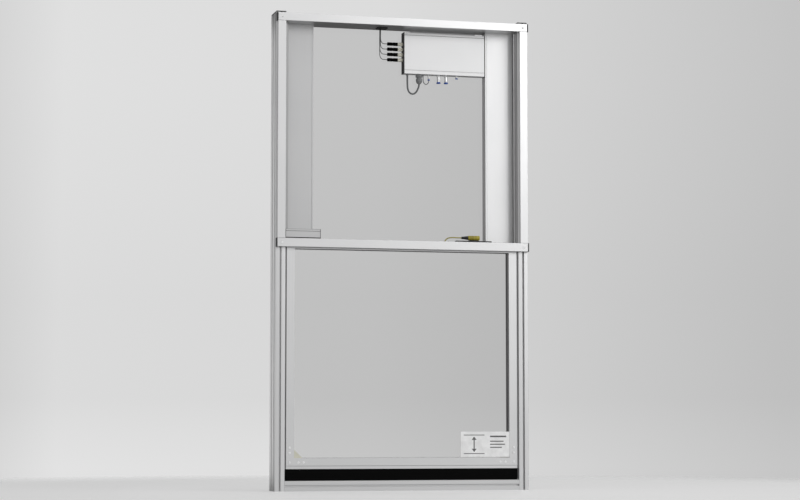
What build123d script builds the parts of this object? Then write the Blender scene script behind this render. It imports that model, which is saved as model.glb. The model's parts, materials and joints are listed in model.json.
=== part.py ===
from build123d import *
import math
import os

# A powered lift door for a machine guard: a tall frame of slotted aluminium profiles, a
# glazed leaf that slides up in front of a fixed upper pane, a magnetically coupled air
# cylinder in the left duct that drives it, and a spring balancer with a rope drum in the
# right duct that carries its weight. Millimetres, +Z up, +Y to the back, origin on the
# floor at the middle of the frame's outline.

os.makedirs("parts", exist_ok=True)

# ---- Driving dimensions ----
WIDTH = 1030.0            # over the outer faces of the main posts
POST_W = 40.0
POST_D = 80.0
POST_H = 1870.0
POST_RADIUS = 1.5
CAP_T = 5.0               # cap on top of each main post
SLOT_MOUTH = 8.2
SLOT_LIP = 4.5
SLOT_ROOM = 16.0
SLOT_DEPTH = 11.5
CORE_R = 3.4              # core holes for M8 thread
CELL = 40.0               # pitch of slots and cores in the main profile
CLAMP_W = 32.0            # closed profile of the front and rear frames
CLAMP_D = 18.0
CLAMP_WALL = 2.0
CLAMP_INSET = 4.0         # front posts stand inside the main post's outer face
RAIL_CAP_T = 4.0
SILL_H = 40.0
MID_Z = (946.0, 980.0)
TOP_Z = (1834.0, 1866.0)
LEAF_X = 468.5            # half width of the leaf
LEAF_Y = (-35.0, 8.0)
LEAF_Z = (98.0, 973.0)
STILE_W = 32.0
LOW_RAIL_H = 30.0
LEAF_WALL = 2.5
PANE_Y = (-9.5, -4.5)
TRAVEL = 780.0            # lift of the leaf
DUCT_X = (354.5, 475.0)   # both ducts, measured from the centre line
DUCT_Y = (10.0, 53.0)
DUCT_LIP = 361.0
DUCT_SLOT_X = 469.0       # the arm's slot runs from here to the post
SHEET_T = 2.0
BOX_X = (14.5, 354.0)     # control box
BOX_Y = (10.0, 46.0)
BOX_Z = (1656.0, 1822.0)
END_T = 3.0
PORT_Y = 29.0             # plugs, glands and fittings of the control box
SOCKET_Z = (1775.0, 1754.0, 1733.0, 1711.5)
TUBE_R = 12.5             # drive cylinder
TUBE_BORE_R = 11.0
DRIVE_X = -420.0
DRIVE_Y = 31.5
END_BLOCK = 16.0
CARRIAGE_H = 40.0
DRUM_X = 400.0            # rope drum of the balancer
DRUM_Y = (24.0, 44.0)
DRUM_Z = 1788.0
DRUM_R = 36.85
ROPE_R = 1.0
ROPE_X = 438.0
ROPE_Y = 34.0
AIR_X = (164.0, 195.0)    # the two push-in air fittings
TUBE_PORT_R = 3.1         # seat for 6 mm air tube
RING_TRAVEL = 1.2

# ---- Derived dimensions ----
HALF_W = WIDTH / 2
INNER_X = HALF_W - POST_W
POST_X = HALF_W - POST_W / 2
HALF_D = POST_D / 2
OUT_D = HALF_D + CLAMP_D
STILE_X = LEAF_X - STILE_W
DUCT_Z = (MID_Z[1], TOP_Z[0])
SIDES = (-1, 1)


def block(x, y, z):
    """Box between the (low, high) pairs x, y and z."""
    size = Box(x[1] - x[0], y[1] - y[0], z[1] - z[0], align=(Align.MIN,) * 3)
    return Pos(x[0], y[0], z[0]) * size


def side_pair(x, side):
    """(low, high) of a pair of distances from the centre line, on one side."""
    return (x[0], x[1]) if side > 0 else (-x[1], -x[0])


def rod_z(x, y, z, radius):
    return Pos(x, y, z[0]) * Cylinder(radius, z[1] - z[0], align=(Align.CENTER, Align.CENTER, Align.MIN))


def rod_x(x, y, z, radius):
    bar = Cylinder(radius, x[1] - x[0], align=(Align.CENTER, Align.CENTER, Align.MIN))
    return Location((x[0], y, z), (0, 90, 0)) * bar


def rod_y(x, y, z, radius):
    bar = Cylinder(radius, y[1] - y[0], align=(Align.CENTER, Align.CENTER, Align.MIN))
    return Location((x, y[0], z), (-90, 0, 0)) * bar


def cone_x(x, y, z, r_low, r_high):
    bar = Cone(r_low, r_high, x[1] - x[0], align=(Align.CENTER, Align.CENTER, Align.MIN))
    return Location((x[0], y, z), (0, 90, 0)) * bar


def cone_z(x, y, z, r_low, r_high):
    bar = Cone(r_low, r_high, z[1] - z[0], align=(Align.CENTER, Align.CENTER, Align.MIN))
    return Pos(x, y, z[0]) * bar


def slot_cutter(length):
    """T-slot along +Z from the origin, with its mouth towards +X."""
    mouth = SLOT_MOUTH / 2
    room = SLOT_ROOM / 2
    floor = room - 3.5
    upper = [(1, mouth), (-SLOT_LIP, mouth), (-SLOT_LIP, room), (-SLOT_LIP - 3, room), (-SLOT_DEPTH, floor)]
    lower = [(x, -y) for x, y in reversed(upper)]
    return extrude(make_face(Polyline(*upper, *lower, close=True)), amount=length)


def hollow(x, y, z, wall, along):
    """Closed rectangular tube, open at both ends of the axis letter along."""
    inner = {}
    for letter, span in zip("xyz", (x, y, z)):
        grow = 1.0 if letter == along else -wall
        inner[letter] = (span[0] - grow, span[1] + grow)
    return block(x, y, z) - block(inner["x"], inner["y"], inner["z"])


def plain_ring(x, y, z, r_out, r_in):
    return rod_z(x, y, z, r_out) - rod_z(x, y, (z[0] - 1, z[1] + 1), r_in)


def save(name, *solids):
    """One STEP file for a node, from one solid or a group of separate ones."""
    shape = solids[0] if len(solids) == 1 else Compound(children=list(solids))
    export_step(shape, f"parts/{name}.step")


# ---- Cords ----
def cord(name, diameter, points):
    """Tube of straight runs joined by the widest arcs that the runs allow."""
    at = [Vector(*p) for p in points]
    runs = [b - a for a, b in zip(at, at[1:])]
    radii = []
    for before, after in zip(runs, runs[1:]):
        half_turn = math.radians(before.get_angle(after)) / 2
        radii.append(0.45 * min(before.length, after.length) / math.tan(half_turn))
    path = FilletPolyline(*at, radius=radii)
    section = Plane(origin=at[0], z_dir=runs[0]) * Circle(diameter / 2)
    tube = sweep(section, path=path)
    expected = math.pi * diameter**2 / 4 * path.length
    print(f"{name}: length {path.length:.1f} mm, volume {tube.volume / expected:.4f} of section x length")
    print(f"  radii {', '.join(f'{r:.1f}' for r in radii)} mm, at least {min(radii) / diameter:.1f} diameters")
    save(name, tube)


# ---- Main frame ----
def main_post(side):
    """Main post: six T-slots, two cores and a middle chamber."""
    bar = block((-POST_W / 2, POST_W / 2), (-HALF_D, HALF_D), (0, POST_H))
    bar = fillet(bar.edges().filter_by(Axis.Z), radius=POST_RADIUS)
    cutter = slot_cutter(POST_H)
    for y in (-CELL / 2, CELL / 2):
        bar -= Pos(POST_W / 2, y, 0) * cutter
        bar -= Pos(-POST_W / 2, y, 0) * Rot(0, 0, 180) * cutter
        bar -= rod_z(0, y, (-1, POST_H + 1), CORE_R)
    bar -= Pos(0, HALF_D, 0) * Rot(0, 0, 90) * cutter
    bar -= Pos(0, -HALF_D, 0) * Rot(0, 0, -90) * cutter
    bar -= block((-15, 15), (-8, 8), (-1, POST_H + 1))
    return Pos(side * POST_X, 0, 0) * bar


def sill():
    """Sill between the main posts, with a T-slot in front and behind."""
    bar = block((-INNER_X, INNER_X), (-HALF_D, HALF_D), (0, SILL_H))
    middle = SILL_H / 2
    bar -= Pos(0, -HALF_D, middle) * Rot(90, 0, 0) * sill_slot()
    bar -= Pos(0, HALF_D, middle) * Rot(-90, 0, 0) * sill_slot()
    for y in (-CELL / 2, CELL / 2):
        bar -= rod_x((-INNER_X - 1, INNER_X + 1), y, middle, CORE_R)
    bar -= block((-INNER_X - 1, INNER_X + 1), (-10, 10), (4, SILL_H - 4))
    return bar


def sill_slot():
    """T-slot along X, centred on the origin, with its mouth towards +Z."""
    return Pos(-INNER_X, 0, 0) * Rot(0, 90, 0) * Rot(0, 0, 180) * slot_cutter(2 * INNER_X)


def post_cap(side):
    plate = block(side_pair((INNER_X, HALF_W), side), (-HALF_D, OUT_D), (POST_H, POST_H + CAP_T))
    plate = fillet(plate.edges().filter_by(Axis.Z), radius=POST_RADIUS)
    return chamfer(plate.faces().sort_by(Axis.Z)[-1].edges(), length=1.2)


def rail_cap(side, z):
    """Plastic cap on the end of a front rail, with a plug that fills the rail's mouth."""
    end = HALF_W - RAIL_CAP_T
    plate = block(side_pair((end, HALF_W), side), FRONT_Y, z)
    stub_y = (FRONT_Y[0] + CLAMP_WALL + 0.1, FRONT_Y[1] - CLAMP_WALL - 0.1)
    stub_z = (z[0] + CLAMP_WALL + 0.1, z[1] - CLAMP_WALL - 0.1)
    return plate + block(side_pair((end - 10, end), side), stub_y, stub_z)


FRONT_Y = (-OUT_D, -HALF_D)
REAR_Y = (HALF_D, OUT_D)
CLAMP_X = (HALF_W - CLAMP_INSET - CLAMP_W, HALF_W - CLAMP_INSET)
SCREW_HEAD_R = 4.8
REAR_SCREW_Z = (110.0, 690.0, 1270.0, 1840.0)
FACES = {                 # outer face, direction into the profile, distance of its screws
    "front": (-OUT_D, 1, 492.5),
    "rear": (OUT_D, -1, POST_X),
}


def screw_at(side, where, z, clearance=0.0):
    """Cap screw through a profile's outer wall, its head flush; or its hole, with a clearance."""
    face, inward, x = FACES[where]
    head = sorted((face + inward * (0.1 - clearance), face + inward * (2.7 + clearance)))
    shank = sorted((face + inward * 2.7, face + inward * 13.0))
    screw = rod_y(side * x, head, z, SCREW_HEAD_R + clearance)
    return screw + rod_y(side * x, shank, z, 2.5 + clearance)


def front_rail(z):
    """Rail over the full width of the frame, drilled for its two screws."""
    end = HALF_W - RAIL_CAP_T
    rail = hollow((-end, end), FRONT_Y, z, CLAMP_WALL, "x")
    for side in SIDES:
        rail -= screw_at(side, "front", sum(z) / 2, 0.2)
    return rail


PANE_GROOVE_Y = (53.05, 56.35)
PANE_BITE = 7.0           # how deep the fixed pane sits in the rear rails


def rear_rail(z, groove_z):
    """Rail between the rear posts, grooved for the fixed pane."""
    rail = hollow((-INNER_X, INNER_X), REAR_Y, z, CLAMP_WALL, "x")
    return rail - block((-INNER_X - 1, INNER_X + 1), PANE_GROOVE_Y, groove_z)


def rear_post(side):
    """Closed profile behind a main post, flush with its side faces."""
    post = hollow(side_pair((INNER_X, HALF_W), side), REAR_Y, (0, POST_H), CLAMP_WALL, "z")
    for z in REAR_SCREW_Z:
        post -= screw_at(side, "rear", z, 0.2)
    return post


def build_frame():
    save("main_post_left", main_post(-1))
    save("main_post_right", main_post(1))
    save("sill_beam", sill())
    cross = block((-INNER_X, INNER_X), (-HALF_D, HALF_D), TOP_Z)
    for y in (-26.0, 0.0, 26.0):
        cross -= block((-INNER_X - 1, INNER_X + 1), (y - 11, y + 11), (TOP_Z[0] + 3, TOP_Z[1] - 3))
    save("top_cross_beam", cross)
    top_groove = (TOP_Z[0] - 1, TOP_Z[0] + PANE_BITE + 1)
    mid_groove = (MID_Z[1] - PANE_BITE - 1, MID_Z[1] + 1)
    save("top_rails", front_rail(TOP_Z), rear_rail(TOP_Z, top_groove))
    save("mid_rails", front_rail(MID_Z), rear_rail(MID_Z, mid_groove))
    save("front_posts", *[hollow(side_pair(CLAMP_X, s), FRONT_Y, DUCT_Z, CLAMP_WALL, "z") for s in SIDES])
    save("rear_posts", *[rear_post(side) for side in SIDES])
    caps = [post_cap(side) for side in SIDES]
    caps += [rail_cap(side, z) for side in SIDES for z in (TOP_Z, MID_Z)]
    save("end_caps", *caps)
    screws = []
    for side in SIDES:
        screws += [screw_at(side, "front", sum(z) / 2) for z in (TOP_Z, MID_Z)]
        screws += [screw_at(side, "rear", z) for z in REAR_SCREW_Z]
    save("frame_screws", *screws)


# ---- Guides for the leaf ----
GUIDE_Y = -CELL / 2
GUIDE_Z = (42.0, 1832.0)
GUIDE_FACE = 469.6
TONGUE_TIP = 462.5


def guide_rail(side):
    """Guide profile: a root in the post's slot, a base and a tongue in the leaf's groove."""
    base = block(side_pair((GUIDE_FACE, INNER_X), side), (GUIDE_Y - 8, GUIDE_Y + 8), GUIDE_Z)
    root = block(side_pair((INNER_X, INNER_X + 4), side), (GUIDE_Y - 4, GUIDE_Y + 4), GUIDE_Z)
    tongue = block(side_pair((TONGUE_TIP, GUIDE_FACE), side), (GUIDE_Y - 2.5, GUIDE_Y + 2.5), GUIDE_Z)
    return base + root + tongue


# ---- Side ducts and the fixed pane ----
def duct_channel(side):
    """Duct profile: a lip beside the cover, the side wall and the back."""
    wall = block(side_pair((DUCT_X[0], DUCT_X[0] + 2.5), side), DUCT_Y, DUCT_Z)
    lip = block(side_pair((DUCT_X[0], DUCT_LIP - 0.5), side), (DUCT_Y[0], DUCT_Y[0] + SHEET_T), DUCT_Z)
    back = block(side_pair(DUCT_X, side), (DUCT_Y[1] - SHEET_T, DUCT_Y[1]), DUCT_Z)
    return wall + lip + back


def duct_cover(side):
    """Front cover with a folded edge along the arm's slot."""
    face = block(side_pair((DUCT_LIP, DUCT_SLOT_X), side), (DUCT_Y[0], DUCT_Y[0] + SHEET_T), DUCT_Z)
    fold_y = (DUCT_Y[0] + SHEET_T, DUCT_Y[0] + 8)
    fold = block(side_pair((DUCT_SLOT_X - SHEET_T, DUCT_SLOT_X), side), fold_y, DUCT_Z)
    return face + fold


def build_upper():
    save("guide_rails", *[guide_rail(side) for side in SIDES])
    save("duct_channels", *[duct_channel(side) for side in SIDES])
    save("duct_covers", *[duct_cover(side) for side in SIDES])
    bottom = DUCT_Z[0] - PANE_BITE
    top = DUCT_Z[1] + PANE_BITE
    pane = block((1 - INNER_X, INNER_X - 1), (53.2, 56.2), (bottom, top))
    save("rear_pane", pane)
    strip_x = (2 - INNER_X, INNER_X - 2)
    strip_y = (50.0, REAR_Y[1] - CLAMP_WALL - 0.1)
    upper = block(strip_x, strip_y, (DUCT_Z[1] + CLAMP_WALL + 0.1, top + 1))
    lower = block(strip_x, strip_y, (bottom - 1, DUCT_Z[0] - CLAMP_WALL - 0.1))
    save("rear_gasket", upper - pane, lower - pane)


# ---- Control box ----
def build_control_box():
    x = (BOX_X[0] + END_T, BOX_X[1] - END_T)
    lip = SHEET_T + 0.5
    body = block(x, (BOX_Y[1] - 3, BOX_Y[1]), BOX_Z)
    body += block(x, BOX_Y, (BOX_Z[0], BOX_Z[0] + lip))
    body += block(x, BOX_Y, (BOX_Z[1] - lip, BOX_Z[1]))
    body += block(x, (BOX_Y[0], BOX_Y[0] + lip), (BOX_Z[0], BOX_Z[0] + 14.5))
    body += block(x, (BOX_Y[0], BOX_Y[0] + lip), (BOX_Z[1] - 10, BOX_Z[1]))
    body += block((x[0] + 30, x[1] - 30), (BOX_Y[1] - 3, BOX_Y[1]), (BOX_Z[1], TOP_Z[0]))
    save("control_box_body", body)
    cover_z = (BOX_Z[0] + 15, BOX_Z[1] - 10.5)
    save("control_box_cover", block(x, (BOX_Y[0], BOX_Y[0] + SHEET_T), cover_z))
    left_end = block((BOX_X[0], x[0]), BOX_Y, BOX_Z)
    for z in SOCKET_Z:
        left_end -= rod_x((BOX_X[0] - 1, x[0] + 1), PORT_Y, z, 6.0)
    save("control_box_ends", left_end, block((x[1], BOX_X[1]), BOX_Y, BOX_Z))
    save("valve_block", block((140, 262), (17, 41), (BOX_Z[0] + lip + 1, 1702)))
    save("controller_module", block((38, 128), (16, BOX_Y[1] - 3), (1690, 1806)))


SOCKET_FACE = 2.0
NUT_X = (-6.2, 14.3)
NUT_SHOULDER_X = 2.6
PLUG_X = (-49.0, -6.4)


def sensor_socket(z):
    """Panel socket with its flange behind the end plate."""
    inside = BOX_X[0] + END_T
    barrel = rod_x((SOCKET_FACE, inside + 6), PORT_Y, z, 5.8)
    return barrel + rod_x((inside, inside + 3), PORT_Y, z, 8.0)


def sensor_plug(z):
    """Moulded plug: a short taper, the grip and a nose inside the coupling nut."""
    grip = cone_x((PLUG_X[0], PLUG_X[0] + 4), PORT_Y, z, 4.6, 7.0)
    body = rod_x((PLUG_X[0] + 4, PLUG_X[1]), PORT_Y, z, 7.0)
    return grip + body + rod_x((PLUG_X[1], SOCKET_FACE - 0.2), PORT_Y, z, 4.2)


def coupling_nut(z):
    """Knurled nut in two steps that holds the plug to its socket."""
    nut = rod_x((NUT_X[0], NUT_SHOULDER_X), PORT_Y, z, 6.9)
    nut += rod_x((NUT_SHOULDER_X, NUT_X[1]), PORT_Y, z, 7.6)
    return nut - rod_x((NUT_X[0] - 1, NUT_X[1] + 1), PORT_Y, z, 6.1)


ENTRY_Z = (TOP_Z[0] - 3, TOP_Z[0])
GLAND_X = 83.0
GLAND_LOW = 1619.0
LOOP_X = 34.3
PILOT_X = (100.0, 123.0)
GROMMET_LOW = 1650.0
BLANK_X = 240.0


def cable_gland():
    """Gland: hexagon under the box, neck, and a dome nut that narrows towards the lead."""
    hexagon = Pos(GLAND_X, PORT_Y, 1645) * extrude(RegularPolygon(14.5, 6, rotation=30), amount=BOX_Z[0] - 1645)
    neck = rod_z(GLAND_X, PORT_Y, (1640, 1645), 10.0)
    nut = rod_z(GLAND_X, PORT_Y, (1627, 1640), 12.8)
    return hexagon + neck + nut + cone_z(GLAND_X, PORT_Y, (GLAND_LOW, 1627), 6.5, 12.8)


def build_connections():
    save("sensor_sockets", *[sensor_socket(z) for z in SOCKET_Z])
    save("sensor_plugs", *[sensor_plug(z) for z in SOCKET_Z])
    save("coupling_nuts", *[coupling_nut(z) for z in SOCKET_Z])
    entry = block((-98, -55), (-14, 36), ENTRY_Z)
    save("cable_entry_plate", fillet(entry.edges().filter_by(Axis.Z), radius=11))
    save("cable_gland", cable_gland())
    under = BOX_Z[0]
    loop_grommet = rod_z(LOOP_X, PORT_Y, (GROMMET_LOW, under), 5.5)
    pilot_grommet = rod_z(PILOT_X[0], PORT_Y, (GROMMET_LOW + 2, under), 3.4)
    blank_plug = rod_z(BLANK_X, PORT_Y, (GROMMET_LOW - 3, under), 4.6)
    blank_plug += rod_z(BLANK_X, PORT_Y, (GROMMET_LOW - 6, GROMMET_LOW - 3), 6.2)
    save("cable_grommets", loop_grommet, pilot_grommet, blank_plug)
    fitting = rod_z(PILOT_X[1], PORT_Y, (1637, under), 4.0)
    save("pilot_fitting", fitting + rod_z(PILOT_X[1], PORT_Y, (1634, 1637), 4.9))


FITTING_LOW = 1629.0
RING_Z = (1623.0, 1627.5)
SLEEVE_TOP = 1639.0
SEAT_Z = (1641.0, 1652.0)


def air_fitting(x):
    """Push-in fitting: hexagon, body, a bore for the release ring and a blind tube seat."""
    body = rod_z(x, PORT_Y, (FITTING_LOW, 1650), 6.0)
    body += Pos(x, PORT_Y, 1650) * extrude(RegularPolygon(7.5, 6), amount=BOX_Z[0] - 1650)
    body -= rod_z(x, PORT_Y, (FITTING_LOW - 1, SEAT_Z[0]), 4.5)
    return body - rod_z(x, PORT_Y, (SEAT_Z[0] - 1, SEAT_Z[1]), TUBE_PORT_R)


def release_ring(x):
    """Release ring with its sleeve; pushed in by RING_TRAVEL it frees the tube."""
    ring = rod_z(x, PORT_Y, RING_Z, 8.6)
    ring += rod_z(x, PORT_Y, (RING_Z[1], SLEEVE_TOP), 4.2)
    return ring - rod_z(x, PORT_Y, (RING_Z[0] - 1, SLEEVE_TOP + 1), TUBE_PORT_R + 0.15)


def build_air_fittings():
    assert RING_Z[1] + RING_TRAVEL < FITTING_LOW
    assert SLEEVE_TOP + RING_TRAVEL < SEAT_Z[0]
    save("air_fittings", *[air_fitting(x) for x in AIR_X])
    save("release_ring_a", release_ring(AIR_X[0]))
    save("release_ring_b", release_ring(AIR_X[1]))


# ---- Drive cylinder in the left duct ----
CARRIAGE_Z = (DUCT_Z[0] + END_BLOCK + 1, DUCT_Z[0] + END_BLOCK + 1 + CARRIAGE_H)
ARM_Z = (997.0, 1009.0)
ARM_X = (470.3, 473.3)    # an arm's stretch through its slot, from the centre line


def build_drive():
    assert CARRIAGE_Z[1] + TRAVEL <= DUCT_Z[1] - END_BLOCK
    square = (DRIVE_X - 21, DRIVE_X + 21)
    low = block(square, (DRIVE_Y - 19.5, DRIVE_Y + 19.5), (DUCT_Z[0], DUCT_Z[0] + END_BLOCK))
    high = block(square, (DRIVE_Y - 19.5, DRIVE_Y + 19.5), (DUCT_Z[1] - END_BLOCK, DUCT_Z[1]))
    save("cylinder_end_blocks", low, high)
    tube_z = (DUCT_Z[0] + END_BLOCK, DUCT_Z[1] - END_BLOCK)
    save("cylinder_tube", plain_ring(DRIVE_X, DRIVE_Y, tube_z, TUBE_R, TUBE_BORE_R))
    carriage = block(square, (DRIVE_Y - 19, DRIVE_Y + 19), CARRIAGE_Z)
    over = (CARRIAGE_Z[0] - 1, CARRIAGE_Z[1] + 1)
    save("cylinder_carriage", carriage - rod_z(DRIVE_X, DRIVE_Y, over, TUBE_R + 0.4))
    save("cylinder_piston", rod_z(DRIVE_X, DRIVE_Y, CARRIAGE_Z, TUBE_BORE_R - 0.3))


# ---- Balancer in the right duct ----
AXLE_R = 5.0
FLANGE_R = 40.0
SPRING_T = 1.2
SPRING_PITCH = 4.0


def spiral_spring():
    """Flat spiral spring: half rings whose centres alternate, so each joins the next."""
    spring = None
    radius = AXLE_R + 0.7
    y = (30.0, 40.0)
    step = SPRING_PITCH / 4
    for half in range(12):
        centre = DRUM_X - step / 2 if half % 2 == 0 else DRUM_X + step / 2
        ring = rod_y(centre, y, DRUM_Z, radius + SPRING_T) - rod_y(centre, (y[0] - 1, y[1] + 1), DRUM_Z, radius)
        reach = radius + SPRING_T + 1
        z = (DRUM_Z, DRUM_Z + reach) if half % 2 == 0 else (DRUM_Z - reach, DRUM_Z)
        part = ring & block((centre - reach, centre + reach), y, z)
        spring = part if spring is None else spring + part
        radius += step
    return spring


def rope_drum():
    """Cup-shaped drum: web with a bearing bore, rim for the rope between two flanges."""
    drum = rod_y(DRUM_X, DRUM_Y, DRUM_Z, DRUM_R)
    drum += rod_y(DRUM_X, (DRUM_Y[0], DRUM_Y[0] + 2.5), DRUM_Z, FLANGE_R)
    drum += rod_y(DRUM_X, (DRUM_Y[1] - 2.5, DRUM_Y[1]), DRUM_Z, FLANGE_R)
    drum -= rod_y(DRUM_X, (DRUM_Y[0] + 4, DRUM_Y[1] + 1), DRUM_Z, DRUM_R - 4)
    return drum - rod_y(DRUM_X, (DRUM_Y[0] - 1, DRUM_Y[1]), DRUM_Z, AXLE_R + 0.2)


def build_balancer():
    plate = block((DRUM_X - 40, DRUM_X + 36), (46.5, 51), (DRUM_Z - 40, DRUM_Z + 42))
    save("balancer_bracket", plate + rod_y(DRUM_X, (19, 46.5), DRUM_Z, AXLE_R))
    save("balancer_spring", spiral_spring())
    save("rope_drum", rope_drum())
    save("lift_rope", rod_z(ROPE_X, ROPE_Y, (988, DRUM_Z), ROPE_R))


# ---- Leaf ----
GROOVE_X = 461.5
GLAZE_Y = (PANE_Y[0] - 1.1, PANE_Y[1] + 1.1)
GLAZE_DEPTH = 8.2
LOW_RAIL_Z = (LEAF_Z[0], LEAF_Z[0] + LOW_RAIL_H)
TOP_RAIL_Z = (LEAF_Z[1] - STILE_W, LEAF_Z[1])
FRONT_ROOM_Y = (LEAF_Y[0] + LEAF_WALL, GLAZE_Y[0] - LEAF_WALL)
REAR_ROOM_Y = (GLAZE_Y[1] + LEAF_WALL, LEAF_Y[1] - LEAF_WALL)
LEAF_SCREWS = [(454.5, 111.0), (419.5, 111.0), (399.0, 111.0), (454.5, 147.5), (454.5, 168.0)]


def leaf_screw(x, z, clearance=0.0):
    head = rod_y(x, (LEAF_Y[0] + 0.1 - clearance, LEAF_Y[0] + 2.4), z, SCREW_HEAD_R + clearance)
    return head + rod_y(x, (LEAF_Y[0] + 2.4, LEAF_Y[0] + 12), z, 2.0 + clearance)


def drill(profile):
    for x, z in LEAF_SCREWS:
        for side in SIDES:
            profile -= leaf_screw(side * x, z, 0.15)
    return profile


def stile(side):
    """Side profile: guide groove outside, glazing groove inside, two chambers."""
    over = (LEAF_Z[0] - 1, LEAF_Z[1] + 1)
    bar = block(side_pair((STILE_X, LEAF_X), side), LEAF_Y, LEAF_Z)
    bar -= block(side_pair((GROOVE_X, LEAF_X + 1), side), (GUIDE_Y - 3.2, GUIDE_Y + 3.2), over)
    bar -= block(side_pair((STILE_X - 1, STILE_X + GLAZE_DEPTH), side), GLAZE_Y, over)
    bar -= block(side_pair((STILE_X + LEAF_WALL, GROOVE_X - LEAF_WALL), side), FRONT_ROOM_Y, over)
    bar -= block(side_pair((STILE_X + LEAF_WALL, LEAF_X - LEAF_WALL), side), REAR_ROOM_Y, over)
    return drill(bar)


def leaf_rail(z, glaze_z):
    over = (-STILE_X - 1, STILE_X + 1)
    inside = (z[0] + LEAF_WALL, z[1] - LEAF_WALL)
    bar = block((-STILE_X, STILE_X), LEAF_Y, z)
    bar -= block(over, GLAZE_Y, glaze_z)
    bar -= block(over, FRONT_ROOM_Y, inside)
    bar -= block(over, REAR_ROOM_Y, inside)
    return drill(bar)


def gusset(side):
    """Triangular corner plate between stile and bottom rail."""
    corner = (side * STILE_X, LOW_RAIL_Z[1])
    points = [corner, (corner[0], corner[1] + 37), (corner[0] - side * 37, corner[1])]
    face = make_face(Plane.XZ * Polyline(*points, close=True))
    return Pos(0, -15, 0) * extrude(face, amount=3)


def sign_plate():
    """Sign in the leaf's corner, level with its front, on four spacers that stand on the pane."""
    face = (LEAF_Y[0] + 0.5, LEAF_Y[0] + 3.5)
    plate = block((234.5, STILE_X - 0.3), face, (LOW_RAIL_Z[1] + 2.3, 230.0))
    for x in (265.0, 405.0):
        for z in (162.0, 202.0):
            plate += rod_y(x, (face[1], PANE_Y[0]), z, 5.0)
    return plate


def build_leaf():
    save("leaf_stiles", *[stile(side) for side in SIDES])
    low = leaf_rail(LOW_RAIL_Z, (LOW_RAIL_Z[1] - GLAZE_DEPTH, LOW_RAIL_Z[1] + 1))
    top = leaf_rail(TOP_RAIL_Z, (TOP_RAIL_Z[0] - 1, TOP_RAIL_Z[0] + GLAZE_DEPTH))
    save("leaf_rails", low, top)
    bite = GLAZE_DEPTH - 2.2
    pane_z = (LOW_RAIL_Z[1] - bite, TOP_RAIL_Z[0] + bite)
    pane = block((-STILE_X - bite, STILE_X + bite), PANE_Y, pane_z)
    save("leaf_pane", pane)
    seal_z = (LOW_RAIL_Z[1] - GLAZE_DEPTH + 0.2, TOP_RAIL_Z[0] + GLAZE_DEPTH - 0.2)
    seal_x = STILE_X + GLAZE_DEPTH - 0.2
    seal = block((-seal_x, seal_x), (GLAZE_Y[0] + 0.1, GLAZE_Y[1] - 0.1), seal_z)
    seal -= block((2 - STILE_X, STILE_X - 2), (-20, 5), (LOW_RAIL_Z[1] + 2, TOP_RAIL_Z[0] - 2))
    save("leaf_gasket", seal - pane)
    save("corner_gussets", *[gusset(side) for side in SIDES])
    screws = [leaf_screw(side * x, z) for x, z in LEAF_SCREWS for side in SIDES]
    screws += [rod_z(x, -3, (981, 986.5), 4.5) for x in (396.0, 428.0)]
    save("leaf_screws", *screws)
    save("sign_plate", sign_plate())


# ---- Safety edge under the leaf ----
EDGE_Y = (-33.0, 6.0)
EDGE_Z = (85.5, 97.0)
RUBBER_Z = (40.5, 85.5)


def guide_groove(side, z):
    """Room for the guide's tongue in a piece that reaches as far out as the stile."""
    return block(side_pair((GROOVE_X, LEAF_X + 1), side), (GUIDE_Y - 3.2, GUIDE_Y + 3.2), z)


def build_safety_edge():
    over = (-LEAF_X - 1, LEAF_X + 1)
    carrier = block((-LEAF_X, LEAF_X), EDGE_Y, EDGE_Z)
    carrier += block((-LEAF_X, LEAF_X), (-24, -2), (EDGE_Z[1], LEAF_Z[0]))
    carrier -= block(over, (EDGE_Y[0] + 3, EDGE_Y[1] - 3), (EDGE_Z[0] + 3, EDGE_Z[1] - 3))
    for side in SIDES:
        carrier -= guide_groove(side, (EDGE_Z[0] - 1, LEAF_Z[0] + 1))
    save("edge_carrier", carrier)
    rubber = block((-LEAF_X, LEAF_X), EDGE_Y, RUBBER_Z)
    rubber = fillet(rubber.edges().filter_by(Axis.X).sort_by(Axis.Z)[:2], radius=4)
    rubber -= block(over, (-28, 2), (47, 66))
    rubber -= block(over, (-28, 2), (71, 80))
    for side in SIDES:
        rubber -= guide_groove(side, (RUBBER_Z[0] - 1, RUBBER_Z[1] + 1))
        rubber += block(side_pair((LEAF_X, 471.5), side), (EDGE_Y[0], -29.5), (RUBBER_Z[0] + 4, RUBBER_Z[1]))
    save("edge_rubber", rubber)


# ---- What stands on the leaf's top rail ----
HOUSING_X = (-460.0, -333.0)
HOUSING_Z = (LEAF_Z[1], 1019.0)
HOUSING_Y = (-32.0, 7.0)
PLUG_Y = -14.0
PLUG_Z = 999.4


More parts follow.
